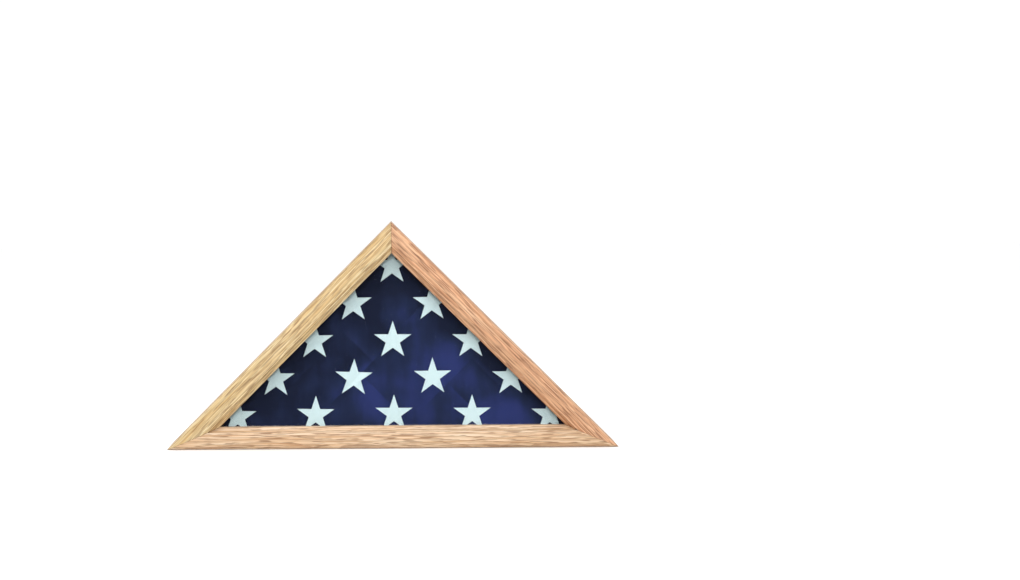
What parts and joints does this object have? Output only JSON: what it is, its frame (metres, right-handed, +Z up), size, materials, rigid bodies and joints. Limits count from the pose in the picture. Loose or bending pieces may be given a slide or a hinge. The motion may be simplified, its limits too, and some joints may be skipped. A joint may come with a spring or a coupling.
{
  "type": "folded flag display case",
  "caption": "Triangular glazed oak case that displays a folded flag, with a moulded face, a removable rear panel held by turn buttons, and hanging rings.",
  "frame": {"origin": "middle of the flat underside, half way across the base and half way between the moulding's crown and the walls' back edges", "axes": "+Z up, +X along the base to the right as seen from the front, the glazed front faces -Y"},
  "size_m": [0.66, 0.099, 0.33],
  "materials": {
    "oak_moulding": "satin",
    "oak_box": "satin",
    "zinc_steel": "satin",
    "brass_plate": "satin",
    "glass": "polished",
    "flag_cloth": "matte",
    "back_board": "matte",
    "black_felt": "matte",
    "bumper_rubber": "matte"
  },
  "bodies": {
    "case": {"face_rail_bottom": "oak_moulding", "face_rail_right": "oak_moulding", "face_rail_left": "oak_moulding", "face_v_nails": "zinc_steel", "wall_bottom": "oak_box", "wall_right": "oak_box", "wall_left": "oak_box", "mitre_splines": "oak_box", "glass_pane": "glass", "glass_stop_bottom": "oak_box", "glass_stop_right": "oak_box", "glass_stop_left": "oak_box", "stop_brads": "zinc_steel", "folded_flag": "flag_cloth", "turn_button_screws": "zinc_steel", "hanger_strap_right": "zinc_steel", "hanger_strap_left": "zinc_steel", "hanger_screws": "zinc_steel", "wall_bumpers": "bumper_rubber"},
    "back": {"back_panel": "back_board", "back_lining": "black_felt"},
    "button_bottom_left": {"turn_button_bottom_left": "brass_plate"},
    "button_bottom_right": {"turn_button_bottom_right": "brass_plate"},
    "button_right_lower": {"turn_button_right_lower": "brass_plate"},
    "button_right_upper": {"turn_button_right_upper": "brass_plate"},
    "button_left_lower": {"turn_button_left_lower": "brass_plate"},
    "button_left_upper": {"turn_button_left_upper": "brass_plate"},
    "ring_right": {"hanger_ring_right": "zinc_steel"},
    "ring_left": {"hanger_ring_left": "zinc_steel"}
  },
  "joints": [
    {"name": "back_panel_slide", "type": "slide", "parent": "case", "child": "back", "axis": [0, 1, 0], "range_m": [0, 0.12]},
    {"name": "turn_button_bottom_left_pivot", "type": "hinge", "parent": "case", "child": "button_bottom_left", "pos_m": [-0.165, 0.0475, 0.00575], "axis": [0, 1, 0], "range_deg": [0, 90]},
    {"name": "turn_button_bottom_right_pivot", "type": "hinge", "parent": "case", "child": "button_bottom_right", "pos_m": [0.165, 0.0475, 0.00575], "axis": [0, -1, 0], "range_deg": [0, 90]},
    {"name": "turn_button_right_lower_pivot", "type": "hinge", "parent": "case", "child": "button_right_lower", "pos_m": [0.24108, 0.0475, 0.08079], "axis": [0, 1, 0], "range_deg": [0, 90]},
    {"name": "turn_button_right_upper_pivot", "type": "hinge", "parent": "case", "child": "button_right_upper", "pos_m": [0.13855, 0.0475, 0.18332], "axis": [0, 1, 0], "range_deg": [0, 90]},
    {"name": "turn_button_left_lower_pivot", "type": "hinge", "parent": "case", "child": "button_left_lower", "pos_m": [-0.24108, 0.0475, 0.08079], "axis": [0, -1, 0], "range_deg": [0, 90]},
    {"name": "turn_button_left_upper_pivot", "type": "hinge", "parent": "case", "child": "button_left_upper", "pos_m": [-0.13855, 0.0475, 0.18332], "axis": [0, -1, 0], "range_deg": [0, 90]},
    {"name": "hanger_ring_right_hinge", "type": "hinge", "parent": "case", "child": "ring_right", "pos_m": [0.07138, 0.04945, 0.25049], "axis": [0.7071, 0, 0.7071], "range_deg": [0, 180]},
    {"name": "hanger_ring_left_hinge", "type": "hinge", "parent": "case", "child": "ring_left", "pos_m": [-0.07138, 0.04945, 0.25049], "axis": [0.7071, 0, -0.7071], "range_deg": [0, 180]}
  ]
}
